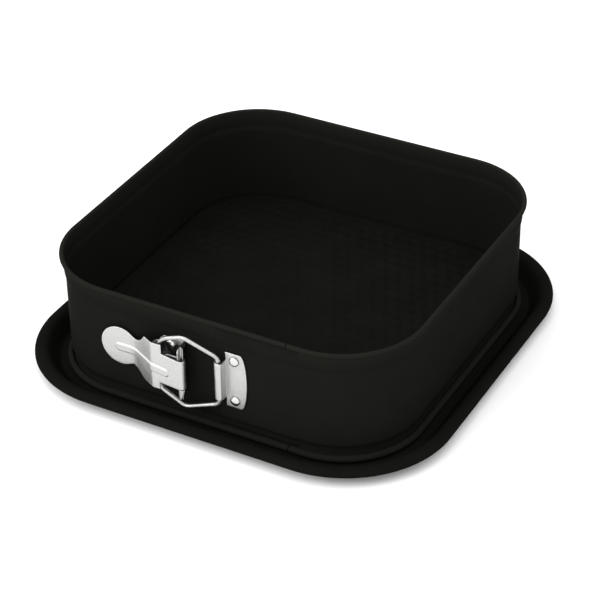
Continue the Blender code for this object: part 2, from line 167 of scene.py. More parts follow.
DIMPLE_RADIUS = 0.0042
DIMPLE_DEPTH = 0.00095
DIMPLE_CLEAR = 0.0008           # between a spot and the border
DIMPLE_RINGS = ((0.30, 8), (0.55, 12), (0.78, 12), (1.0, 12))   # (share of the radius, points)

EDGE_ROUND = 0.00022            # rounding of the clasp sheets' cut edges
BLANK_SPACING = 0.0009          # long edges of their outlines are split to about this
CURL_SPACING = 0.0007           # the same for the wings' rolls
KNUCKLE_RADIUS = 0.00195        # to the middle of the sheet
BODY_Y = HINGE.y - KNUCKLE_RADIUS
KNUCKLE_TOP = 0.0094            # heights from the middle of the clasp
KNUCKLE_LOW = -0.0114
KNUCKLE_INSET = 0.0020          # the knuckle's tab begins this far left of the hinge
NOTCH_GAP = 0.0005
PAD_RADIUS = 0.0134
PAD_LIFT = 0.0005
PAD_Y = -0.12275
PAD_TURN = (60, 300, 36)
WAIST_TOP = ((-0.0371, 0.0152), (-0.0384, 0.0134), (-0.0410, 0.0111),
             (-0.0444, 0.0096), (-0.0471, 0.0100))   # (X, height) from the wing to the pad
WAIST_LOW = ((-0.0471, -0.0103), (-0.0444, -0.0112), (-0.0410, -0.0129),
             (-0.0384, -0.0144), (-0.0362, -0.0151))
LEVER_STEPS = 90
LEVER_SPARE = 0.0002            # the line runs this far past the pad's tip
LEVER_END_CLEAR = 0.0001
RAMP_START = -0.0500
RAMP_END = -0.0285
RAMP_SOFT = 0.35                # share of the slope in which it steepens
WING_TOP = 0.0176
WING_LOW = -0.0153
WING_TOP_LEFT = -0.0354
WING_LOW_LEFT = -0.0345
WING_TOP_RIGHT = -0.0216
WING_LOW_RIGHT = -0.0236
BODY_TOP = 0.0112
BODY_LOW = -0.0102
STOP_X = -0.0202                # where the flap behind the body turns in towards it
FLAP_BEND = 0.0014
CURL_TURN = (264, 84, 24)       # the wings' half rolls round the wire's leg
CURL_CLEAR = (0.0013, 0.0003)   # from the body's edge, and from the wing's
CURL_THIN = 0.9
RIB_HALF = 0.0030
RIB_FLAT = 0.72                 # share of the rib's half width that is flat
RIB_FLAT_LOW = 0.62             # the same below its middle, where the slope is gentler
RIB_HEIGHT = 0.0008
RIB_MIDDLE = -0.0002
RIB_DROP = 0.0015
RIB_LEFT = -0.0582
RIB_RIGHT = -0.0188
RIB_END = 0.003                 # the rib's round ends stay within this length
RIB_END_STRETCH = 1.3
RIB_BAND = (-0.0052, 0.0034)    # heights between which the mesh is finer for it
RIB_GRID = (0.00045, 0.00022, 0.0004)     # spacing along, spacing up, distance from the edge
LEVER_GRID = (0.0007, 0.0011, 0.0005)
CURL_GRID = (0.0005, 0.0009, 0.0004)
BRACKET_GRID = (0.0006, 0.0011, 0.0004)
CATCH_GRID = (0.0005, 0.0012, 0.0004)

BRACKET_BEND = 0.0012
EAR_END = 345                   # angle round the hinge where the lower ear's roll ends
EAR_FRONT = 232                 # the same for the upper ear
EAR_TIP = 262                   # the same for the lower ear's lowest corner
LEAF_INSET = 0.0030             # the leaf's flat part ends this far before the roll
BRACKET_CORNER = 0.0028
BRACKET_LOW_INSET = 0.0034
BRACKET_ROUND_DROP = 0.0020
EAR_STEPS = (0.0004, 0.0012, 0.0006)   # small shifts that shape the ears' corners
EAR_FACE = 0.0012               # the ears' look begins this far behind the hinge
EAR_FACE_TOP = 0.0030           # and covers this much of the bracket's top

HOOK_RADIUS = 0.0021
HOOK_HALF = 0.0133
HOOK_TURN = (270, 84, 24)
CATCH_LEFT = 0.0026             # the plate begins this far right of the hook's axis
CATCH_STEP = 0.0003             # and narrows to the hook this far from there
CATCH_SPARE = 0.0002            # its line runs this far past the right end
CATCH_BEND = 0.0007
CATCH_BULGE = 0.0042
CATCH_ARC_STEPS = 12

PIN_SHEET = 0.00045
PIN_FACING = 122.0              # middle of the roll's closed side
PIN_SPAN = 118.0
PIN_STEPS = 24
PIN_INSETS = (0.0001, 0.0003)   # from its lower end, and off its whole length
PIN_SIZES = ((0.0, 0.08), (0.04, 0.26), (0.17, 1.0), (0.5, 1.0), (1.0, 1.0))   # (share up, size)

RIVET_HEAD = 0.0033
RIVET_DOME = 0.0017
RIVET_SHANK = 0.0016
RIVET_SIDES = 36
RIVET_STEPS = 10
DOME_FLATNESS = 1.15            # exponents that flatten and spread the dome
DOME_SPREAD = 1.12
HEAD_EDGE = ((0.0, 0.0001), (0.00015, 0.0))   # (inset, lift) of the head's lower edge
TAIL_HEAD = ((0.0016, 0.0005), (0.0024, 0.0005), (0.00255, 0.0003), (0.0023, 0.0001),
             (0.0018, 0.0))     # (radius, distance from the tail's end)
TAIL_FLUSH = ((0.0016, 0.0001), (0.0015, 0.0))

WIRE_CORNERS = ((HOOK.x, 0.0165), (-0.0083, 0.0252), (-0.0213, 0.0210), (LEG.x, 0.0163),
                (LEG.x, -0.0158), (-0.0084, -0.0261), (HOOK.x, -0.0176))   # (X, height)
WIRE_BEND = 0.0034
WIRE_SIDES = 20


# ---------------- lines

def arc(centre, radius, start, end, steps):
    """Points on an arc in a plane, with the angles in degrees."""
    points = []
    for step in range(steps + 1):
        angle = math.radians(start + (end - start) * step / steps)
        x = centre[0] + radius * math.cos(angle)
        points.append(Vector((x, centre[1] + radius * math.sin(angle))))
    return points


def bend(before, corner, after, size, steps=5):
    """A rounded corner between two neighbours, as a quadratic curve."""
    most = 0.48                 # of a side's length, so that two bends never meet
    to_before = before - corner
    to_after = after - corner
    start = corner + to_before.normalized() * min(size, to_before.length * most)
    end = corner + to_after.normalized() * min(size, to_after.length * most)
    points = []
    for step in range(steps + 1):
        t = step / steps
        points.append(start * (1 - t) ** 2 + corner * 2 * t * (1 - t) + end * t * t)
    return points


def soften(points, size, steps=5):
    """An open line with its inner corners rounded."""
    corners = [Vector(point) for point in points]
    line = [corners[0]]
    for before, corner, after in zip(corners, corners[1:], corners[2:]):
        line += bend(before, corner, after, size, steps)
    line.append(corners[-1])
    return line


def spline(points, steps):
    """A smooth open line through the points."""
    knots = [Vector(point) for point in points]
    line = []
    for index in range(len(knots) - 1):
        a = knots[max(index - 1, 0)]
        b = knots[index]
        c = knots[index + 1]
        d = knots[min(index + 2, len(knots) - 1)]
        for step in range(steps):
            t = step / steps
            line.append(0.5 * (2 * b + (c - a) * t + (2 * a - 5 * b + 4 * c - d) * t * t
                               + (3 * b - a - 3 * c + d) * t ** 3))
    line.append(knots[-1])
    return line


def offset(path, distance):
    """The open path moved to its left, with mitred corners up to twice as far out."""
    moved = []
    last = len(path) - 1
    for index, here in enumerate(path):
        first = here - path[index - 1] if index else path[1] - here
        second = path[index + 1] - here if index < last else here - path[last - 1]
        normal_a = Vector((-first.y, first.x)).normalized()
        normal_b = Vector((-second.y, second.x)).normalized()
        normal = (normal_a + normal_b).normalized()
        moved.append(here + normal * distance / max(normal.dot(normal_a), 0.5))
    return moved


def sheet_outline(path, thickness):
    """Closed outline of a sheet whose middle follows the path, with rounded ends."""
    left = offset(path, thickness / 2)
    right = offset(path, -thickness / 2)
    outline = []
    for side, tip, inner in ((left, path[-1], path[-2]), (right[::-1], path[0], path[1])):
        outline += side
        forward = (tip - inner).normalized()
        across = Vector((-forward.y, forward.x))
        for angle in (45, 0, -45):
            turn = math.radians(angle)
            reach = across * math.sin(turn) + forward * math.cos(turn)
            outline.append(tip + reach * thickness / 2)
    return outline


# ---------------- meshes

INSIDE_ONLY = 1                 # the triangulation keeps only what its outline holds


def add_piece(name, shape, material, sharp=40):
    """A mesh piece with its normals outward, smooth but for edges above the angle."""
    mesh = bpy.data.meshes.new(name)
    mesh.from_pydata([tuple(v) for v in shape.verts], [], shape.faces)
    mesh.validate()
    piece = bpy.data.objects.new(name, mesh)
    bpy.context.scene.collection.objects.link(piece)
    bpy.context.view_layer.objects.active = piece
    piece.select_set(True)
    bpy.ops.object.mode_set(mode="EDIT")
    bpy.ops.mesh.select_all(action="SELECT")
    bpy.ops.mesh.normals_make_consistent(inside=False)
    bpy.ops.object.mode_set(mode="OBJECT")
    piece.select_set(False)
    mesh.shade_smooth()
    mesh.set_sharp_from_angle(angle=math.radians(sharp))
    mesh.materials.append(material)
    return piece


class Shape:
    """Vertices and faces being gathered for one mesh."""

    def __init__(self):
        self.verts = []
        self.faces = []

    def ring(self, points):
        start = len(self.verts)
        self.verts += [Vector(point) for point in points]
        return list(range(start, len(self.verts)))

    def join(self, rings):
        """Quads between each closed ring and the next."""
        for first, second in zip(rings, rings[1:]):
            count = len(first)
            for index in range(count):
                after = (index + 1) % count
                self.faces.append((first[index], first[after], second[after], second[index]))

    def strip_cap(self, ring):
        """Close a thin sheet's end with quads between its two sides."""
        low = 0
        high = len(ring) - 1
        while high - low > 2:
            self.faces.append((ring[low], ring[low + 1], ring[high - 1], ring[high]))
            low += 1
            high -= 1
        if high - low == 2:
            self.faces.append((ring[low], ring[low + 1], ring[high]))


# ---------------- materials

RANGE_ENDS = (0.35, 0.65)       # the middle part of a noise, for values
TONE_ENDS = (0.32, 0.68)        # and for colours


def start_material(name):
    material = bpy.data.materials.new(name)
    material.use_nodes = True
    return material, material.node_tree.nodes, material.node_tree.links


def add_noise(nodes, links, scale, detail, stretch=(1.0, 1.0, 1.0)):
    """Noise in the object's own space, with its features 1 / scale metres across."""
    place = nodes.new("ShaderNodeTexCoord")
    mapping = nodes.new("ShaderNodeMapping")
    mapping.inputs["Scale"].default_value = stretch
    noise = nodes.new("ShaderNodeTexNoise")
    noise.inputs["Scale"].default_value = scale
    noise.inputs["Detail"].default_value = detail
    links.new(place.outputs["Object"], mapping.inputs["Vector"])
    links.new(mapping.outputs["Vector"], noise.inputs["Vector"])
    return noise.outputs["Fac"]


def add_range(nodes, links, source, low, high):
    """Map a noise's middle range onto a range of values."""
    node = nodes.new("ShaderNodeMapRange")
    node.inputs["From Min"].default_value = RANGE_ENDS[0]
    node.inputs["From Max"].default_value = RANGE_ENDS[1]
    node.inputs["To Min"].default_value = low
    node.inputs["To Max"].default_value = high
    links.new(source, node.inputs["Value"])
    return node.outputs["Result"]


def add_tones(nodes, links, source, dark, light):
    """Map a noise's middle range onto two colours."""
    ramp = nodes.new("ShaderNodeValToRGB")
    for element, position, color in zip(ramp.color_ramp.elements, TONE_ENDS, (dark, light)):
        element.position = position
        element.color = (*color, 1.0)
    links.new(source, ramp.inputs["Fac"])
    return ramp.outputs["Color"]


def add_bump(nodes, links, height, distance, strength, below=None):
    """Bump from a height, on top of another bump if there is one below."""
    bump = nodes.new("ShaderNodeBump")
    bump.inputs["Strength"].default_value = strength
    bump.inputs["Distance"].default_value = distance
    links.new(height, bump.inputs["Height"])
    if below:
        links.new(below, bump.inputs["Normal"])
    return bump.outputs["Normal"]


# Painted highlight: the coating is lightened on the rolled rim and foot, standing in for the light
# these edges catch.
PAINTED_HIGHLIGHT_RIM = 0.0785             # heights where the rolled edges begin
PAINTED_HIGHLIGHT_FOOT = 0.0057
PAINTED_HIGHLIGHT_FADE = 0.0016            # height over which the rubbing fades in
COATING_IOR = 1.012             # a matt layer that mirrors very little
COATING_SPREAD = (0.05, 0.06)   # how far the roughness goes below and above its middle
COATING_WAVES = (230.0, 2.0)    # scale and detail of each noise
COATING_MOTTLE = (45.0, 3.0)
COATING_GRAIN = (1500.0, 2.0)
ZINC_CRYSTALS = (900.0, 4.0)
ZINC_RUBS = (120.0, 5.0)
ZINC_GRAIN = (2600.0, 2.0)
PEEL_BUMP = (0.00004, 0.25)     # distance and strength of each bump
GRAIN_BUMP = (0.00002, 0.35)
ZINC_BUMP = (0.00002, 0.3)

# Dark tone, light tone and roughness, then the tone of the painted highlight on the rolled edges if
# there is one.
BAND_LOOK = ((0.0075, 0.0076, 0.0065), (0.0083, 0.0084, 0.0072), 0.42, (0.0112, 0.0113, 0.0097))
# The tray's tones are darker than the band's same coating: painted shade for the dimmer light that
# falls on the tray.
TRAY_SHADED_LOOK = ((0.0051, 0.0052, 0.0044), (0.0060, 0.0061, 0.0052), 0.45)
# Dark tone, light tone, roughness and its spread, and how the grain is stretched.
SHEET_LOOK = ((0.475, 0.475, 0.47), (0.555, 0.555, 0.55), 0.40, 0.06, (0.3, 1.0, 1.0))
LEAF_LOOK = ((0.45, 0.45, 0.44), (0.58, 0.58, 0.57), 0.20, 0.06, (1.0, 1.0, 0.3))
WIRE_LOOK = ((0.36, 0.355, 0.345), (0.48, 0.475, 0.46), 0.36, 0.05, (1.0, 1.0, 1.0))
RIVET_LOOK = ((0.50, 0.50, 0.495), (0.66, 0.66, 0.65), 0.17, 0.05, (1.0, 1.0, 1.0))


def mark_painted_highlight(piece):
    """Store how much painted highlight each vertex gets, so that it moves with the ring when it
    lifts.
    """
    painted_highlight = piece.data.attributes.new("painted_highlight", "FLOAT", "POINT")
    for vert, value in zip(piece.data.vertices, painted_highlight.data):
        rim = (vert.co.z - PAINTED_HIGHLIGHT_RIM) / PAINTED_HIGHLIGHT_FADE + 0.5
        foot = (PAINTED_HIGHLIGHT_FOOT - vert.co.z) / PAINTED_HIGHLIGHT_FADE + 0.5
        value.value = min(max(rim, foot, 0.0), 1.0)


def add_painted_highlight_edges(nodes, links, color, lift):
    """Lighten the coating on the rolled foot and rim: a painted highlight where these rolled edges
    catch the light.
    """
    painted_highlight = nodes.new("ShaderNodeAttribute")
    painted_highlight.attribute_name = "painted_highlight"
    mix = nodes.new("ShaderNodeMix")
    mix.data_type = "RGBA"
    links.new(painted_highlight.outputs["Fac"], mix.inputs["Factor"])
    links.new(color, mix.inputs["A"])
    mix.inputs["B"].default_value = (*lift, 1.0)
    return mix.outputs["Result"]


def coating(name, dark, light, gloss, painted_highlight=None):
    """Black non-stick coating: fine grain, faint mottling, a sheen that varies a little, and, where
    given, a painted highlight on the rolled edges.
    """
    material, nodes, links = start_material(name)
    shader = nodes["Principled BSDF"]
    shader.inputs["IOR"].default_value = COATING_IOR
    mottle = add_noise(nodes, links, *COATING_MOTTLE)
    grain = add_noise(nodes, links, *COATING_GRAIN)
    waves = add_noise(nodes, links, *COATING_WAVES)
    color = add_tones(nodes, links, mottle, dark, light)
    # Painted highlight on the rolled rim and foot, where a highlight tone is given.
    if painted_highlight:
        color = add_painted_highlight_edges(nodes, links, color, painted_highlight)
    links.new(color, shader.inputs["Base Color"])
    below, above = COATING_SPREAD
    roughness = add_range(nodes, links, waves, gloss - below, gloss + above)
    links.new(roughness, shader.inputs["Roughness"])
    peel = add_bump(nodes, links, waves, *PEEL_BUMP)
    links.new(add_bump(nodes, links, grain, *GRAIN_BUMP, peel), shader.inputs["Normal"])
    return material


def zinc(name, dark, light, gloss, spread, grain_stretch):
    """Zinc-plated steel: fine crystalline tone, grain along the sheet, and soft rub marks."""
    material, nodes, links = start_material(name)
    shader = nodes["Principled BSDF"]
    shader.inputs["Metallic"].default_value = 1.0
    crystals = add_noise(nodes, links, *ZINC_CRYSTALS)
    rubs = add_noise(nodes, links, *ZINC_RUBS, grain_stretch)
    grain = add_noise(nodes, links, *ZINC_GRAIN, grain_stretch)
    links.new(add_tones(nodes, links, crystals, dark, light), shader.inputs["Base Color"])
    roughness = add_range(nodes, links, rubs, gloss - spread, gloss + spread)
    links.new(roughness, shader.inputs["Roughness"])
    links.new(add_bump(nodes, links, grain, *ZINC_BUMP), shader.inputs["Normal"])
    return material


def floor_material():
    material, nodes, links = start_material("studio_floor")
    shader = nodes["Principled BSDF"]
    shader.inputs["Specular IOR Level"].default_value = 0.0
    tone = add_noise(nodes, links, scale=3.0, detail=2.0)
    color = add_tones(nodes, links, tone, dark=(0.86, 0.86, 0.86), light=(0.88, 0.88, 0.88))
    links.new(color, shader.inputs["Base Color"])
    shader.inputs["Roughness"].default_value = 0.9
    return material


# ---------------- band

# Middle of the sheet as (outset from the wall's face, height), between its foot and its rim.
WALL_MIDDLE = -SHEET / 2
NECK = WALL_MIDDLE - NECK_INSET
COLLAR = WALL_MIDDLE + SHOULDER_STEP
WEB = ((NECK, NECK_TOP), (WALL_MIDDLE, WALL_FOOT), (WALL_MIDDLE, SHOULDER_FOOT),
       (COLLAR, SHOULDER_TOP))


def band_path():
    """Middle of the band's sheet, from its rolled foot to its rolled rim."""
    bead_centre = (NECK + BEAD_RADIUS, BACK_LOW.z + BEAD_RADIUS + SHEET / 2)
    rim_centre = (COLLAR + RIM_RADIUS, BACK_HIGH.z - RIM_RADIUS - SHEET / 2)
    foot = arc(bead_centre, BEAD_RADIUS, *BEAD_TURN)
    rim = arc(rim_centre, RIM_RADIUS, *RIM_TURN)
    return foot + soften([foot[-1], *WEB, rim[0]], WALL_BEND)[1:-1] + rim


def tongue_path():
    """Middle of the outer lap, which has no rolled edges."""
    return soften([(NECK, TONGUE_LOW), *WEB, (COLLAR, TONGUE_HIGH)], WALL_BEND)


def wall_stations(axis, side, start, end, steps):
    """Stations along a straight wall: (point on its outer face, outward direction)."""
    stations = []
    for step in range(steps + 1):
        along = start + (end - start) * step / steps
        if axis == "x":
            stations.append((Vector((along, side * WALL_HALF)), Vector((0.0, side))))
        else:
            stations.append((Vector((side * WALL_HALF, along)), Vector((side, 0.0))))
    return stations


def corner_stations(sign_x, sign_y, start, end):
    """Stations round a corner, without its two ends."""
    stations = []
    centre = Vector((sign_x * CORNER_CORE, sign_y * CORNER_CORE))
    for step in range(1, CORNER_STEPS):
        angle = math.radians(start + (end - start) * step / CORNER_STEPS)
        outward = Vector((math.cos(angle), math.sin(angle)))
        stations.append((centre + outward * (WALL_HALF - CORNER_CORE), outward))
    return stations


def sweep(shape, outline, stations):
    """Sweep an outline, or one for each station, along stations of (point, outward direction)."""
    rings = []
    for index, (point, outward) in enumerate(stations):
        places = outline(index) if callable(outline) else outline
        rings.append(shape.ring((*(point + outward * p.x), p.y) for p in places))
    shape.join(rings)
    shape.strip_cap(rings[0])
    shape.strip_cap(rings[-1])


def half_ring_stations(side):
    """Stations of one arm, from the back piece round both corners to the seam."""
    core = CORNER_CORE
    stations = wall_stations("x", 1, side * BACK_END, side * core, steps=2)
    if side < 0:
        stations += corner_stations(-1, 1, 90, 180)
        stations += wall_stations("y", -1, core, -core, WALL_STEPS)
        stations += corner_stations(-1, -1, 180, 270)
        stations += wall_stations("x", -1, -core, SEAM_X, steps=6)
    else:
        stations += corner_stations(1, 1, 90, 0)
        stations += wall_stations("y", 1, core, -core, WALL_STEPS)
        stations += corner_stations(1, -1, 0, -90)
        stations += wall_stations("x", -1, core, SEAM_X + SEAM_GAP, steps=1)
    return stations


def add_tongue(shape):
    """The outer lap, which steps out of the right arm beside the seam and runs on to the left."""
    path = tongue_path()
    lap = SHEET + GAP
    from_end, from_seam = TONGUE_STATIONS
    xs = [TONGUE_END_X, TONGUE_END_X + from_end, SEAM_X + from_seam]
    shares = [1.0, 1.0, 1.0]
    for step in range(JOGGLE_STEPS + 1):
        t = step / JOGGLE_STEPS
        xs.append(SEAM_X - JOGGLE_START + JOGGLE_LENGTH * t)
        shares.append(1.0 - t * t * (3 - 2 * t))
    stations = [(Vector((x, -WALL_HALF)), Vector((0.0, -1.0))) for x in xs]

    def outline(index):
        share = shares[index]
        thickness = SHEET * (LAP_THINNEST + (1.0 - LAP_THINNEST) * share)
        points = sheet_outline(path, thickness)
        return [Vector((p.x + lap * share, p.y)) for p in points]

    sweep(shape, outline, stations)


def make_band(material):
    """The spring band in three lengths: the back piece rides on the back ring, and the two arms run
    from it round the corners to the clasp.
    """
    outline = sheet_outline(band_path(), SHEET)
    back = Shape()
    sweep(back, outline, wall_stations("x", 1, -BACK_END, BACK_END, BACK_STEPS))
    piece = add_piece("band_back_sheet", back, material)
    # Painted highlight on the rolled rim and foot of this piece.
    mark_painted_highlight(piece)
    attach(piece, "ring_back")
    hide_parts("band_back")
    for side, label in ((-1, "left"), (1, "right")):
        arm = Shape()
        sweep(arm, outline, half_ring_stations(side))
        if side > 0:
            add_tongue(arm)
        piece = add_piece("band_" + label + "_sheet", arm, material)
        # Painted highlight on the rolled rim and foot of this piece.
        mark_painted_highlight(piece)
        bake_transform(piece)
        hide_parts("band_" + label)


# ---------------- base tray

def tray_path():
    """Middle of the tray's sheet as (half width, height), from the floor out to the lip."""
    half_sheet = TRAY_SHEET / 2
    top = PLATEAU_TOP - half_sheet
    side = PLATEAU_HALF - half_sheet
    turn = PLATEAU_ROUND - half_sheet
    inner, middle, outer = FLOOR_STEP
    step = [(BORDER_HALF - inner, top - FLOOR_DROP), (BORDER_HALF - middle, top - FLOOR_DROP)]
    step += [(BORDER_HALF, top), (BORDER_HALF + outer, top)]
    shoulder = arc((side - turn, top - turn), turn, 90, 0, steps=10)
    foot = arc((side + FOOT_TURN, half_sheet + FOOT_TURN), FOOT_TURN, 180, 270, steps=6)
    lip_inset, lip_height = LIP_TURN
    lip = LIP_HALF - half_sheet
    rise = [(CHANNEL_HALF - CHANNEL_FLAT_END, half_sheet), (CHANNEL_HALF, half_sheet), *LIP_RISE]
    rise += [(lip - lip_inset, lip_height), (lip, LIP_EDGE)]
    rim = [Vector((p.x, max(p.y, half_sheet))) for p in spline(rise, steps=4)]
    return soften(step, BORDER_BEND, steps=3) + shoulder + foot + rim


def square_ring(half, height):
    """Points round a square with arc corners, whose corner centres move out towards the lip."""
    share = min(max((half - CHANNEL_HALF) / (LIP_HALF - CHANNEL_HALF), 0.0), 1.0)
    core = CORNER_CORE + (LIP_CORE - CORNER_CORE) * share
    points = []
    for quarter in range(4):
        sign_x = 1 if quarter in (0, 3) else -1
        sign_y = 1 if quarter in (0, 1) else -1
        start = 90 * quarter
        corner = arc((sign_x * core, sign_y * core), half - core, start, start + 90, CORNER_STEPS)
        points += [Vector((point.x, point.y, height)) for point in corner]
    return points


def dimple_centres():
    """Staggered rows of pressed spots that lie wholly inside the border."""
    reach = BORDER_HALF - FLOOR_STEP[0] - DIMPLE_RADIUS - DIMPLE_CLEAR
    count = int(BORDER_HALF / DIMPLE_PITCH)
    centres = []
    for row in range(-count, count + 1):
        for column in range(-count, count + 1):
            x = (column + (0.5 if row % 2 else 0.0)) * DIMPLE_PITCH
            y = row * DIMPLE_PITCH
            over_x = max(abs(x) - CORNER_CORE, 0.0)
            over_y = max(abs(y) - CORNER_CORE, 0.0)
            in_corner = math.hypot(over_x, over_y) < reach - CORNER_CORE
            if abs(x) < reach and abs(y) < reach and in_corner:
                centres.append(Vector((x, y)))
    return centres


def pressed_floor(shape, edge_upper, edge_lower, height):
    """The floor with its pressed spots: one triangulation serves both faces of the sheet."""
    points = [shape.verts[index].xy for index in edge_upper]
    drops = [0.0] * len(points)
    for centre in dimple_centres():
        points.append(centre)
        drops.append(DIMPLE_DEPTH)
        for share, sides in DIMPLE_RINGS:
            depth = DIMPLE_DEPTH * 0.5 * (1 + math.cos(math.pi * share))
            for point in arc(centre, DIMPLE_RADIUS * share, 0, 360, sides)[:-1]:
                points.append(point)
                drops.append(depth)
    border = len(edge_upper)
    loop = list(range(border))
    edges = [(index, (index + 1) % border) for index in range(border)]
    verts, _, faces, origins, _, _ = delaunay_2d_cdt(points, edges, [loop], INSIDE_ONLY, 1e-7)
    for ring, lift in ((edge_upper, TRAY_SHEET / 2), (edge_lower, -TRAY_SHEET / 2)):
        placed = []
        for vert, origin in zip(verts, origins):
            source = origin[0]
            if source < border:
                placed.append(ring[source])
            else:
                shape.verts.append(Vector((vert.x, vert.y, height + lift - drops[source])))
                placed.append(len(shape.verts) - 1)
        shape.faces += [tuple(placed[index] for index in face) for face in faces]


def make_tray(material):
    """The pressed tray: both faces of the sheet, its rounded lip and the floor."""
    shape = Shape()
    path = tray_path()
    half = TRAY_SHEET / 2
    upper = [shape.ring(square_ring(p.x, p.y)) for p in offset(path, half)]
    lower = [shape.ring(square_ring(p.x, p.y)) for p in offset(path, -half)]
    shape.join(upper)
    shape.join(lower)
    tip = path[-1]
    edge = [shape.ring(square_ring(tip.x + x * half, tip.y + y * half)) for x, y in LIP_ROUND]
    shape.join([upper[-1], *edge, lower[-1]])
    pressed_floor(shape, upper[0], lower[0], path[0].y)
    piece = add_piece("base_tray_sheet", shape, material)
    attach(piece, "base")
    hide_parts("base_tray")


# ---------------- clasp sheets

class Strip:
    """A line in plan that a bent sheet follows, measured along its length."""

    def __init__(self, points):
        self.points = [Vector(point) for point in points]
        self.marks = [0.0]
        for first, second in zip(self.points, self.points[1:]):
            self.marks.append(self.marks[-1] + (second - first).length)
        self.length = self.marks[-1]

    def normal(self, index):
        """Left normal at a point of the line."""
        before = self.points[max(index - 1, 0)]
        after = self.points[min(index + 1, len(self.points) - 1)]
        along = (after - before).normalized()
        return Vector((-along.y, along.x))

    def place(self, along, height, depth):
        """Where a flat point of the sheet lands, moved to the line's left by a depth."""
        high = bisect_right(self.marks, along, 1, len(self.marks) - 1)
        low = high - 1
        share = (along - self.marks[low]) / (self.marks[high] - self.marks[low])
        point = self.points[low].lerp(self.points[high], share)
        normal = self.normal(low).lerp(self.normal(high), min(max(share, 0.0), 1.0)).normalized()
        place = point + normal * depth
        return Vector((place.x, place.y, CLASP_Z + height))

    def at_x(self, x):
        """Length along the line where it first crosses an X, going either way."""
        for index, (a, b) in enumerate(zip(self.points, self.points[1:])):
            if a.x != b.x and min(a.x, b.x) <= x <= max(a.x, b.x):
                length = self.marks[index + 1] - self.marks[index]
                return self.marks[index] + length * (x - a.x) / (b.x - a.x)
        raise ValueError("the line has no point at this X")


def rounded_polygon(corners):
    """Closed outline from (along, height, rounding) corners."""
    line = []
    count = len(corners)
    for index, (u, v, size) in enumerate(corners):
        corner = Vector((u, v))
        if size == 0.0:
            line.append(corner)
            continue
        before = Vector(corners[index - 1][:2])
        after = Vector(corners[(index + 1) % count][:2])
        line += bend(before, corner, after, size, steps=4)
    return line


def resample(outline, spacing):
    """Split the long edges of a closed outline."""
    line = []
    for index, here in enumerate(outline):
        after = outline[(index + 1) % len(outline)]
        steps = max(int((after - here).length / spacing), 1)
        line += [here.lerp(after, step / steps) for step in range(steps)]
    return line


def inside(point, outline):
    """Whether a flat point lies inside a closed outline."""
    found = False
    for index, a in enumerate(outline):
        b = outline[index - 1]
        if (a.y > point.y) != (b.y > point.y):
            if point.x < (b.x - a.x) * (point.y - a.y) / (b.y - a.y) + a.x:
                found = not found
    return found


def grid_points(outline, step_u, step_v, margin, zone=None):
    """Points on a grid inside the outline, clear of its edge, and inside a zone if there is one."""
    low_u = min(p.x for p in outline)
    high_u = max(p.x for p in outline)
    low_v = min(p.y for p in outline)
    high_v = max(p.y for p in outline)
    points = []
    for column in range(int((high_u - low_u) / step_u) + 1):
        for row in range(int((high_v - low_v) / step_v) + 1):
            point = Vector((low_u + (column + 0.5) * step_u, low_v + (row + 0.5) * step_v))
            if zone and not zone(point):
                continue
            clear = min((point - edge).length for edge in outline) > margin
            if clear and inside(point, outline):
                points.append(point)
    return points


def pressed_sheet(shape, strip, outline, points, thickness, relief=None):
    """A bent sheet with rounded edges: its flat blank is triangulated, pressed and wrapped."""
    count = len(outline)
    edges = [(index, (index + 1) % count) for index in range(count)]
    flat = outline + points
    loop = list(range(count))
    verts, _, faces, origins, _, _ = delaunay_2d_cdt(flat, edges, [loop], INSIDE_ONLY, 1e-8)
    area = sum(a.x * b.y - b.x * a.y for a, b in zip(outline, outline[1:] + outline[:1]))
    turn = 1.0 if area > 0 else -1.0
    outward = []
    for index in range(count):
        along = (outline[(index + 1) % count] - outline[index - 1]).normalized()
        outward.append(Vector((along.y, -along.x)) * turn)
    raise_by = relief or (lambda point: 0.0)

    def land(point, depth):
        return strip.place(point.x, point.y, depth + raise_by(point))

    rims = {}
    for side in (1.0, -1.0):
        placed = []
        for vert, origin in zip(verts, origins):
            source = origin[0]
            point = vert
            if source < count:
                point = outline[source] - outward[source] * EDGE_ROUND
            shape.verts.append(land(point, side * thickness / 2))
            placed.append(len(shape.verts) - 1)
        shape.faces += [tuple(placed[index] for index in face) for face in faces]
        order = {origin[0]: placed[index] for index, origin in enumerate(origins)}
        rims[side] = [order[index] for index in range(count)]
    loops = [rims[1.0]]
    for side, angles in ((1.0, (45, 90)), (-1.0, (90, 45))):
        for angle in angles:
            turned = math.radians(angle)
            depth = side * (thickness / 2 - EDGE_ROUND * (1 - math.cos(turned)))
            shift = EDGE_ROUND * (math.sin(turned) - 1)
            loops.append(shape.ring(land(p + o * shift, depth) for p, o in zip(outline, outward)))
    loops.append(rims[-1.0])
    shape.join(loops)


def lever_y(x):
    """Middle of the lever's sheet: flat pad, a slope with a soft start, flat body."""
    share = min(max((x - RAMP_START) / (RAMP_END - RAMP_START), 0.0), 1.0)
    rise = share * share / (2 * RAMP_SOFT) if share < RAMP_SOFT else share - RAMP_SOFT / 2
    return PAD_Y + (BODY_Y - PAD_Y) * rise / (1 - RAMP_SOFT / 2)


def lever_strip():
    """The lever's line in plan, from the pad's tip, round the pin and back along the flap."""
    start = LEVER_LOW.x - LEVER_SPARE
    line = []
    for step in range(LEVER_STEPS):
        x = start + (HINGE.x - start) * step / LEVER_STEPS
        line.append(Vector((x, lever_y(x))))
    line += arc(HINGE, KNUCKLE_RADIUS, -90, 90, steps=22)
    back_y = HINGE.y + KNUCKLE_RADIUS
    flap = [line[-1], (STOP_X, back_y), (STOP_X, BODY_Y + PLATE + GAP)]
    return Strip(line + soften(flap, FLAP_BEND)[1:])


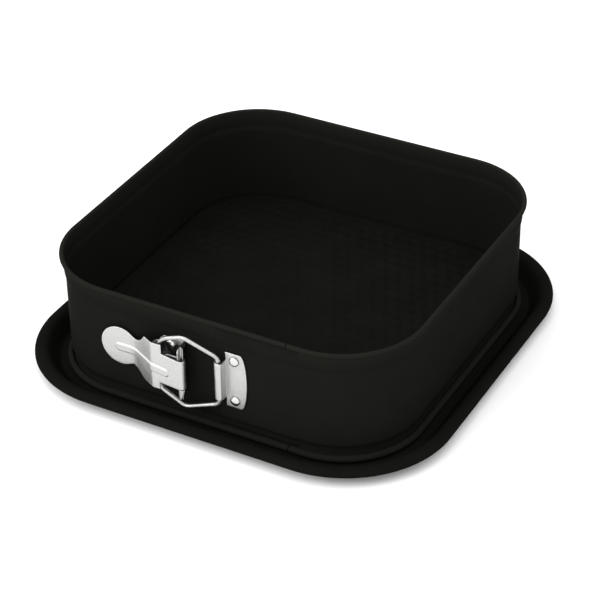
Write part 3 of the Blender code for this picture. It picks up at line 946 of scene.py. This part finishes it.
def lever_outline(strip):
    """The lever's flat blank: round pad, waist, two wings and the knuckle's tab."""
    pad_x = LEVER_LOW.x + PAD_RADIUS
    end = strip.length - LEVER_END_CLEAR
    knuckle = strip.at_x(HINGE.x - KNUCKLE_INSET)
    pad = [(p.x, p.y) for p in arc((pad_x, PAD_LIFT), PAD_RADIUS, *PAD_TURN)]
    neck_top = [(p.x, p.y) for p in spline([*WAIST_TOP, pad[0]], steps=4)[:-1]]
    neck_low = [(p.x, p.y) for p in spline([pad[-1], *WAIST_LOW], steps=4)[1:]]
    corners = [(strip.at_x(x), v, 0.0) for x, v in neck_top + pad + neck_low]
    corners += [
        (strip.at_x(WING_LOW_LEFT), WING_LOW, 0.0012),
        (strip.at_x(WING_LOW_RIGHT), WING_LOW, 0.0005),
        (strip.at_x(WING_LOW_RIGHT), BODY_LOW, 0.0003),
        (knuckle, KNUCKLE_LOW, 0.0003),
        (end, KNUCKLE_LOW, 0.0004),
        (end, KNUCKLE_TOP, 0.0004),
        (knuckle, KNUCKLE_TOP, 0.0003),
        (strip.at_x(WING_TOP_RIGHT), BODY_TOP, 0.0003),
        (strip.at_x(WING_TOP_RIGHT), WING_TOP, 0.0004),
        (strip.at_x(WING_TOP_LEFT), WING_TOP, 0.0004),
    ]
    return resample(rounded_polygon(corners), BLANK_SPACING)


def lever_relief(strip):
    """How far the pressed rib lifts the sheet outwards, away from the wall."""
    start = strip.at_x(RIB_LEFT)
    end = strip.at_x(RIB_RIGHT)
    drop_start = strip.at_x(RAMP_END)

    def relief(point):
        if not start - RIB_END < point.x < end + RIB_END:
            return 0.0
        along = min(max(point.x, start), end)
        middle = RIB_MIDDLE - RIB_DROP * max(along - drop_start, 0.0) / (end - drop_start)
        away = math.hypot((point.x - along) * RIB_END_STRETCH, point.y - middle) / RIB_HALF
        flat = RIB_FLAT if point.y > middle else RIB_FLAT_LOW
        slope = min(max(away - flat, 0.0) / (1.0 - flat), 1.0)
        return -RIB_HEIGHT * (0.5 + 0.5 * math.cos(math.pi * slope))

    return relief


def make_lever(material):
    """The lever with its pressed rib, and the half rolls behind its wings."""
    strip = lever_strip()
    outline = lever_outline(strip)
    relief = lever_relief(strip)
    start = strip.at_x(RIB_LEFT) - RIB_END
    end = strip.at_x(RIB_RIGHT) + RIB_END

    def near_rib(point):
        return start < point.x < end and RIB_BAND[0] < point.y < RIB_BAND[1]

    fine = grid_points(outline, *RIB_GRID, near_rib)
    plain = grid_points(outline, *LEVER_GRID, lambda point: not near_rib(point))
    shape = Shape()
    pressed_sheet(shape, strip, outline, fine + plain, PLATE, relief)
    curl = Strip(arc(LEG, LEG.y - BODY_Y, *CURL_TURN))
    from_body, from_wing = CURL_CLEAR
    spans = ((BODY_TOP + from_body, WING_TOP - from_wing),
             (WING_LOW + from_wing, BODY_LOW - from_body))
    for low, high in spans:
        corners = [(0.0, low, 0.0), (curl.length, low, 0.0004)]
        corners += [(curl.length, high, 0.0004), (0.0, high, 0.0)]
        flat = resample(rounded_polygon(corners), CURL_SPACING)
        pressed_sheet(shape, curl, flat, grid_points(flat, *CURL_GRID), PLATE * CURL_THIN)
    piece = add_piece("clasp_lever_sheet", shape, material, sharp=50)
    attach(piece, "lever")
    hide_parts("clasp_lever")


def make_bracket(material, ear_material):
    """Plate riveted to the wall, a leaf that stands out of it, and two ears that hold the pin."""
    plate_y = -WALL_HALF - GAP - PLATE / 2
    leaf_x = HINGE.x - KNUCKLE_RADIUS
    left = BRACKET_LOW.x
    top = BRACKET_HIGH.z - CLASP_Z
    low = BRACKET_LOW.z - CLASP_Z
    line = [(left, plate_y), (leaf_x, plate_y), (leaf_x, HINGE.y)]
    line = soften(line, BRACKET_BEND, steps=6)
    strip = Strip(line[:-1] + arc(HINGE, KNUCKLE_RADIUS, 180, EAR_END, steps=20))

    def at_angle(angle):
        """Length along the strip at an angle of the ears' roll."""
        return strip.length - KNUCKLE_RADIUS * math.radians(EAR_END - angle)

    leaf_end = at_angle(180) - LEAF_INSET
    ear = at_angle(EAR_FRONT)
    high_ear = KNUCKLE_TOP + NOTCH_GAP
    low_ear = KNUCKLE_LOW - NOTCH_GAP
    short, long, end_step = EAR_STEPS
    corners = [
        (0.0, low + BRACKET_CORNER, 0.0006),
        (BRACKET_CORNER, low, 0.0006),
        (leaf_end - BRACKET_LOW_INSET, low, 0.0010),
        (leaf_end + short, low_ear - long, 0.0008),
        (at_angle(EAR_TIP), low + short, 0.0003),
        (strip.length, low_ear - end_step, 0.0004),
        (strip.length, low_ear, 0.0002),
        (leaf_end, low_ear, 0.0006),
        (leaf_end, high_ear, 0.0006),
        (ear, high_ear, 0.0003),
        (ear, top - BRACKET_ROUND_DROP, 0.0010),
        (leaf_end + end_step, top, 0.0010),
        (BRACKET_CORNER, top, 0.0008),
        (0.0, top - BRACKET_CORNER, 0.0008),
    ]
    outline = resample(rounded_polygon(corners), BLANK_SPACING)
    shape = Shape()
    pressed_sheet(shape, strip, outline, grid_points(outline, *BRACKET_GRID), PLATE)
    piece = add_piece("hinge_bracket_sheet", shape, material, sharp=50)
    piece.data.materials.append(ear_material)
    for face in piece.data.polygons:
        in_front = face.center.y < HINGE.y + EAR_FACE
        if in_front or face.center.z > CLASP_Z + top - EAR_FACE_TOP:
            face.material_index = 1
    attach(piece, "ring_left")
    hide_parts("hinge_bracket")


def make_catch(material):
    """Plate riveted to the lap, with a hook bent out of its left edge round the wire."""
    plate_y = -WALL_HALF - SHEET - 2 * GAP - PLATE / 2
    left = HOOK.x + CATCH_LEFT
    right = CATCH_HIGH.x
    half = CATCH_HIGH.z - CLASP_Z
    hook_y = HOOK.y - HOOK_RADIUS
    line = [(right + CATCH_SPARE, plate_y), (left, plate_y), (left, hook_y), (HOOK.x, hook_y)]
    line = soften(line, CATCH_BEND)
    strip = Strip(line[:-1] + arc(HOOK, HOOK_RADIUS, *HOOK_TURN))
    bulge = right - CATCH_BULGE
    upper = []
    for step in range(1, CATCH_ARC_STEPS + 1):
        angle = math.radians(90 * step / CATCH_ARC_STEPS)
        u = strip.at_x(bulge + CATCH_BULGE * math.cos(angle))
        upper.append((u, half * math.sin(angle)))
    step_u = strip.at_x(left + CATCH_STEP)
    top_u = upper[-1][0]
    corners = [(u, -v, 0.0) for u, v in upper[:-1]]
    corners += [
        (top_u, -half, 0.0006),
        (step_u, -half, 0.0004),
        (step_u, -HOOK_HALF, 0.0003),
        (strip.length, -HOOK_HALF, 0.0004),
        (strip.length, HOOK_HALF, 0.0004),
        (step_u, HOOK_HALF, 0.0003),
        (step_u, half, 0.0004),
        (top_u, half, 0.0006),
    ]
    corners += [(u, v, 0.0) for u, v in upper[-2::-1]]
    corners.append((CATCH_SPARE, 0.0, 0.0))
    outline = resample(rounded_polygon(corners), BLANK_SPACING)
    shape = Shape()
    pressed_sheet(shape, strip, outline, grid_points(outline, *CATCH_GRID), PLATE)
    piece = add_piece("catch_plate_sheet", shape, material, sharp=50)
    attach(piece, "ring_right")
    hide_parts("catch_plate")


# ---------------- pin, rivets and wire

def make_pin(material):
    """Rolled sheet pin: an open roll whose lower end runs out to a point."""
    outer = (PIN_HIGH.x - PIN_LOW.x) / 2
    inner = outer - PIN_SHEET
    start = PIN_FACING - PIN_SPAN
    end = PIN_FACING + PIN_SPAN
    low_inset, length_inset = PIN_INSETS
    shape = Shape()
    rings = []
    for share_up, size in PIN_SIZES:
        z = PIN_LOW.z + low_inset + (PIN_HIGH.z - PIN_LOW.z - length_inset) * share_up
        ring = [(*p, z) for p in arc(HINGE, outer * size, start, end, PIN_STEPS)]
        ring += [(*p, z) for p in arc(HINGE, inner * size, end, start, PIN_STEPS)]
        rings.append(shape.ring(ring))
    shape.join(rings)
    shape.strip_cap(rings[0])
    shape.strip_cap(rings[-1])
    piece = add_piece("hinge_pin_roll", shape, material, sharp=50)
    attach(piece, "ring_left")
    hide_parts("hinge_pin")


def make_rivet(node, body, tail_head, material):
    """A domed rivet on the outside of the wall, with its tail spread or flush inside."""
    low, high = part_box(node)
    x = (low.x + high.x) / 2
    z = (low.z + high.z) / 2
    head_y = low.y + RIVET_DOME
    profile = []
    for step in range(1, RIVET_STEPS + 1):
        angle = math.radians(90 * step / RIVET_STEPS)
        bulge = 1.0 - (1.0 - math.cos(angle)) ** DOME_FLATNESS
        radius = RIVET_HEAD * math.sin(angle) ** DOME_SPREAD
        profile.append((radius, head_y - RIVET_DOME * bulge))
    profile += [(RIVET_HEAD - inset, head_y - lift) for inset, lift in HEAD_EDGE]
    profile.append((RIVET_SHANK, head_y))
    for radius, back in TAIL_HEAD if tail_head else TAIL_FLUSH:
        profile.append((radius, high.y - back))
    shape = Shape()
    rings = []
    for radius, y in profile:
        circle = arc((x, z), radius, 0, 360, RIVET_SIDES)[:-1]
        rings.append(shape.ring((p.x, y, p.y) for p in circle))
    shape.join(rings)
    for ring, y in ((rings[0], low.y), (rings[-1], high.y)):
        tip = shape.ring([(x, y, z)])[0]
        for index in range(RIVET_SIDES):
            shape.faces.append((ring[index], ring[(index + 1) % RIVET_SIDES], tip))
    piece = add_piece(node + "_head", shape, material, sharp=50)
    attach(piece, body)
    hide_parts(node)


def make_loop(material):
    """The closed wire loop: straight runs with round bends, lying in one tilted plane."""
    corners = [Vector(corner) for corner in WIRE_CORNERS]
    line = []
    count = len(corners)
    for index, corner in enumerate(corners):
        after = corners[(index + 1) % count]
        line += bend(corners[index - 1], corner, after, WIRE_BEND, steps=9)
    slope = (LEG.y - HOOK.y) / (LEG.x - HOOK.x)
    line = [Vector((p.x, HOOK.y + slope * (p.x - HOOK.x), CLASP_Z + p.y)) for p in line]
    flat_normal = Vector((-slope, 1.0, 0.0)).normalized()
    shape = Shape()
    rings = []
    for index, point in enumerate(line):
        along = (line[(index + 1) % len(line)] - line[index - 1]).normalized()
        across = along.cross(flat_normal).normalized()
        ring = []
        for step in range(WIRE_SIDES):
            angle = 2 * math.pi * step / WIRE_SIDES
            outward = across * math.cos(angle) + flat_normal * math.sin(angle)
            ring.append(point + outward * WIRE_SHOWN)
        rings.append(shape.ring(ring))
    shape.join(rings + rings[:1])
    piece = add_piece("wire_loop_wire", shape, material, sharp=60)
    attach(piece, "loop")
    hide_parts("wire_loop")


# ---------------- studio

FLOOR_HALF = 6.0
KEY_SIDE = (-0.30, -0.42, 0.86)   # the room is brightest in this direction
ROOM_DARK = 0.58
ROOM_LIGHT = 1.90
KEY_PLACE = (-1.0, -1.5, 1.3)
KEY_TARGET = (0.0, 0.0, 0.03)
KEY_SIZE = 1.4
KEY_POWER = 15.0
CAMERA_PLACE = (0.55439, -1.00092, 0.79123)   # solved from the photo's outlines
CAMERA_ANGLES = (56.029, 0.737, 28.421)
CAMERA_LENS = 127.24
CAMERA_SENSOR = 36.0


def make_floor():
    mesh = bpy.data.meshes.new("studio_floor")
    signs = ((-1, -1), (1, -1), (1, 1), (-1, 1))
    corners = [(x * FLOOR_HALF, y * FLOOR_HALF, 0.0) for x, y in signs]
    mesh.from_pydata(corners, [], [(0, 1, 2, 3)])
    floor = bpy.data.objects.new("studio_floor", mesh)
    floor.location.z = CAD_BOX[0].z
    mesh.materials.append(floor_material())
    bpy.context.scene.collection.objects.link(floor)


def make_key_light():
    data = bpy.data.lights.new("key", "AREA")
    data.shape = "DISK"
    data.size = KEY_SIZE
    data.energy = KEY_POWER
    light = bpy.data.objects.new("key", data)
    light.location = KEY_PLACE
    aim = Vector(KEY_TARGET) - Vector(KEY_PLACE)
    light.rotation_euler = aim.to_track_quat("-Z", "Y").to_euler()
    bpy.context.scene.collection.objects.link(light)


def make_world():
    """A white room that is brighter towards the key side and the ceiling."""
    world = bpy.data.worlds.new("studio")
    bpy.context.scene.world = world
    world.use_nodes = True
    nodes = world.node_tree.nodes
    links = world.node_tree.links
    place = nodes.new("ShaderNodeTexCoord")
    toward = nodes.new("ShaderNodeVectorMath")
    toward.operation = "DOT_PRODUCT"
    toward.inputs[1].default_value = Vector(KEY_SIDE).normalized()
    strength = nodes.new("ShaderNodeMapRange")
    strength.inputs["From Min"].default_value = -1.0
    strength.inputs["To Min"].default_value = ROOM_DARK
    strength.inputs["To Max"].default_value = ROOM_LIGHT
    links.new(place.outputs["Generated"], toward.inputs[0])
    links.new(toward.outputs["Value"], strength.inputs["Value"])
    links.new(strength.outputs["Result"], nodes["Background"].inputs["Strength"])
    nodes["Background"].inputs["Color"].default_value = (1.0, 1.0, 1.0, 1.0)


def make_camera():
    data = bpy.data.cameras.new("camera")
    data.sensor_width = CAMERA_SENSOR
    data.lens = CAMERA_LENS
    camera = bpy.data.objects.new("camera", data)
    camera.location = CAMERA_PLACE
    camera.rotation_euler = [math.radians(angle) for angle in CAMERA_ANGLES]
    bpy.context.scene.collection.objects.link(camera)
    bpy.context.scene.camera = camera


def main():
    band_coating = coating("band_coating", *BAND_LOOK)
    tray_coating = coating("tray_coating", *TRAY_SHADED_LOOK)
    sheet_zinc = zinc("zinc_sheet", *SHEET_LOOK)
    leaf_zinc = zinc("zinc_leaf", *LEAF_LOOK)
    wire_zinc = zinc("zinc_wire", *WIRE_LOOK)
    rivet_zinc = zinc("rivet_steel", *RIVET_LOOK)
    make_tray(tray_coating)
    make_band(band_coating)
    make_lever(sheet_zinc)
    make_bracket(leaf_zinc, wire_zinc)
    make_catch(sheet_zinc)
    make_pin(wire_zinc)
    make_loop(wire_zinc)
    for side in ("upper", "lower"):
        make_rivet("bracket_rivet_" + side, "ring_left", True, rivet_zinc)
        make_rivet("catch_rivet_" + side, "ring_right", False, rivet_zinc)
    make_floor()
    make_world()
    make_key_light()
    make_camera()
    bpy.context.scene.view_settings.view_transform = "Standard"


main()
